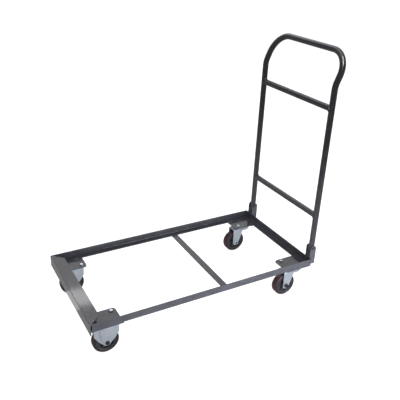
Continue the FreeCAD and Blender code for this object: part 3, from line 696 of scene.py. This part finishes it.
def bolt_ends(name, profile, places, z):
    """Zinc-plated bolt ends, one standing at each place from z up."""
    starts = [Vector((place.x, place.y, z)) for place in places]
    return lathe(name, profile, starts, "frame", "zinc", UPRIGHT, SHANK_SEGMENTS, closed=False)


flush_places = columns("flush_bolts")
tip_z = low("flush_bolts").z
flush_z = high("flush_bolts").z
heads = socket_head("flush_heads", flush_places, flush_z)
shank_length = (flush_z - tip_z) / MM - FLUSH_HEAD_DEPTH
threaded = thread_profile(THREAD_CORE, SHANK_RADIUS, THREAD_LENGTH, THREAD_PITCH)
plain = [(SHANK_RADIUS, THREAD_LENGTH + 0.2), (SHANK_RADIUS, shank_length)]
shanks = bolt_ends("flush_shanks", threaded + plain, flush_places, tip_z)
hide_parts("flush_bolts")
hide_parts("flush_bolts")

# The hexagon bolts' tips stay as they are: a thread is laid round each one.
caster_thread = thread_profile(4.02, 4.18, 2.0, 0.9)
bolt_ends("caster_bolt_threads", caster_thread, columns("caster_bolts"), tip_z - PAST_TIP)

# ---------------------------------------------------------------- stage, light and camera

FLOOR_SIZE = 60.0
FLOOR_DROP = 0.0002
WHITE = (1, 1, 1)
SKYLIGHT = (0.90, 0.95, 1.0)
AMBIENT = 0.34
BACKDROP = 1.0

bpy.ops.mesh.primitive_plane_add(size=FLOOR_SIZE, location=(0, 0, -FLOOR_DROP))
floor = bpy.context.object
floor.name = "floor"
floor.data.materials.append(pale_floor())
floor.visible_glossy = False


def lamp(name, kind, place, target, power, colour=WHITE):
    """A lamp that shines from its place at a target, and isn't seen itself."""
    light = bpy.data.lights.new(name, kind)
    light.energy = power
    light.color = colour
    stand = bpy.data.objects.new(name, light)
    stand.location = place
    stand.rotation_euler = (Vector(target) - Vector(place)).to_track_quat("-Z", "Y").to_euler()
    stand.visible_camera = False
    bpy.context.collection.objects.link(stand)
    return stand


def softbox(name, place, target, size, power, colour=WHITE):
    """A rectangular soft lamp."""
    stand = lamp(name, "AREA", place, target, power, colour)
    stand.data.shape = "RECTANGLE"
    stand.data.size, stand.data.size_y = size
    return stand


def even_light(tree, strength):
    """A plain white background of a given strength."""
    background = tree.nodes.new("ShaderNodeBackground")
    background.inputs["Color"].default_value = (1, 1, 1, 1)
    background.inputs["Strength"].default_value = strength
    return background.outputs["Background"]


def reserve(light, things):
    """Lets a light fall only on some things."""
    receivers = bpy.data.collections.new(f"{light.name}_only")
    for thing in things:
        receivers.objects.link(thing)
    light.light_linking.receiver_collection = receivers


# The camera sees a white backdrop, while the cart gets a dimmer light from all round.
world = bpy.data.worlds.new("studio")
bpy.context.scene.world = world
world.use_nodes = True
tree = world.node_tree
tree.nodes.remove(tree.nodes["Background"])
seen = tree.nodes.new("ShaderNodeLightPath")
either = tree.nodes.new("ShaderNodeMixShader")
tree.links.new(seen.outputs["Is Camera Ray"], either.inputs["Fac"])
tree.links.new(even_light(tree, AMBIENT), either.inputs[1])
tree.links.new(even_light(tree, BACKDROP), either.inputs[2])
tree.links.new(either.outputs["Shader"], tree.nodes["World Output"].inputs["Surface"])

meshes = [thing for thing in bpy.context.scene.objects if thing.type == "MESH"]
on_handle = [thing for thing in meshes if HANDLE_PAINT in list(thing.data.materials)]
on_chassis = [thing for thing in meshes if thing not in on_handle]

# The paper floor has its own even light, so that the cart can be lit more softly than its background.
floor_light = lamp("floor_light", "SUN", (0, 0, 5), (0, 0, 0), 2.5)
reserve(floor_light, [floor])
floor_light.light_linking.blocker_collection = floor_light.light_linking.receiver_collection

softbox("overhead", (0.4, 0.9, 2.6), (0.1, 0.2, 0.0), (2.2, 2.2), 20, SKYLIGHT)
softbox("far_wall", (1.6, 3.7, 2.8), (0.0, 0.0, 0.17), (6.0, 2.4), 22)
softbox("window", (0.12, 2.26, 1.94), (-0.53, -0.08, 0.178), (0.22, 0.15), 0.5)

# A strip above draws the bright line on the handle's near bend.
strip = softbox("strip", (0.2, -1.05, 3.2), (0.51, -0.22, 1.03), (0.5, 1.4), 80)
strip.visible_diffuse = False
reserve(strip, on_handle)
# A low lamp lights the near side of the chassis, and a small card on the floor shines on the nose's skirt.
low_front = softbox("low_front", (0.45, -1.2, 0.30), (0.25, -0.2, 0.12), (1.4, 0.35), 22, SKYLIGHT)
reserve(low_front, on_chassis)
floor_card = softbox("floor_card", (-0.60, 0.12, 0.02), (-0.60, 0.02, 1.0), (0.07, 0.13), 0.014)
reserve(floor_card, on_chassis)

CAMERA_PLACE = (-1.00705, -1.79978, 1.4718)
CAMERA_YAW = radians(-30.12)
CAMERA_PITCH = radians(26.31)
CAMERA_ROLL = radians(2.42)
CAMERA_LENS = 49.43
CAMERA_SENSOR = 36.0


def aim(yaw, pitch, roll):
    """The camera's rotation: yaw from +Y, pitch below the horizon, roll about the view line."""
    forward = Vector((-sin(yaw) * cos(pitch), cos(yaw) * cos(pitch), -sin(pitch)))
    level = forward.cross(Vector((0, 0, 1))).normalized()
    upright = level.cross(forward)
    right = level * cos(roll) + upright * sin(roll)
    up = upright * cos(roll) - level * sin(roll)
    return Matrix((right, up, -forward)).transposed().to_4x4()


camera_data = bpy.data.cameras.new("camera")
camera_data.lens = CAMERA_LENS
camera_data.sensor_width = CAMERA_SENSOR
camera = bpy.data.objects.new("camera", camera_data)
camera.matrix_world = Matrix.Translation(CAMERA_PLACE) @ aim(CAMERA_YAW, CAMERA_PITCH, CAMERA_ROLL)
bpy.context.collection.objects.link(camera)
bpy.context.scene.camera = camera
bpy.context.scene.view_settings.view_transform = "Standard"
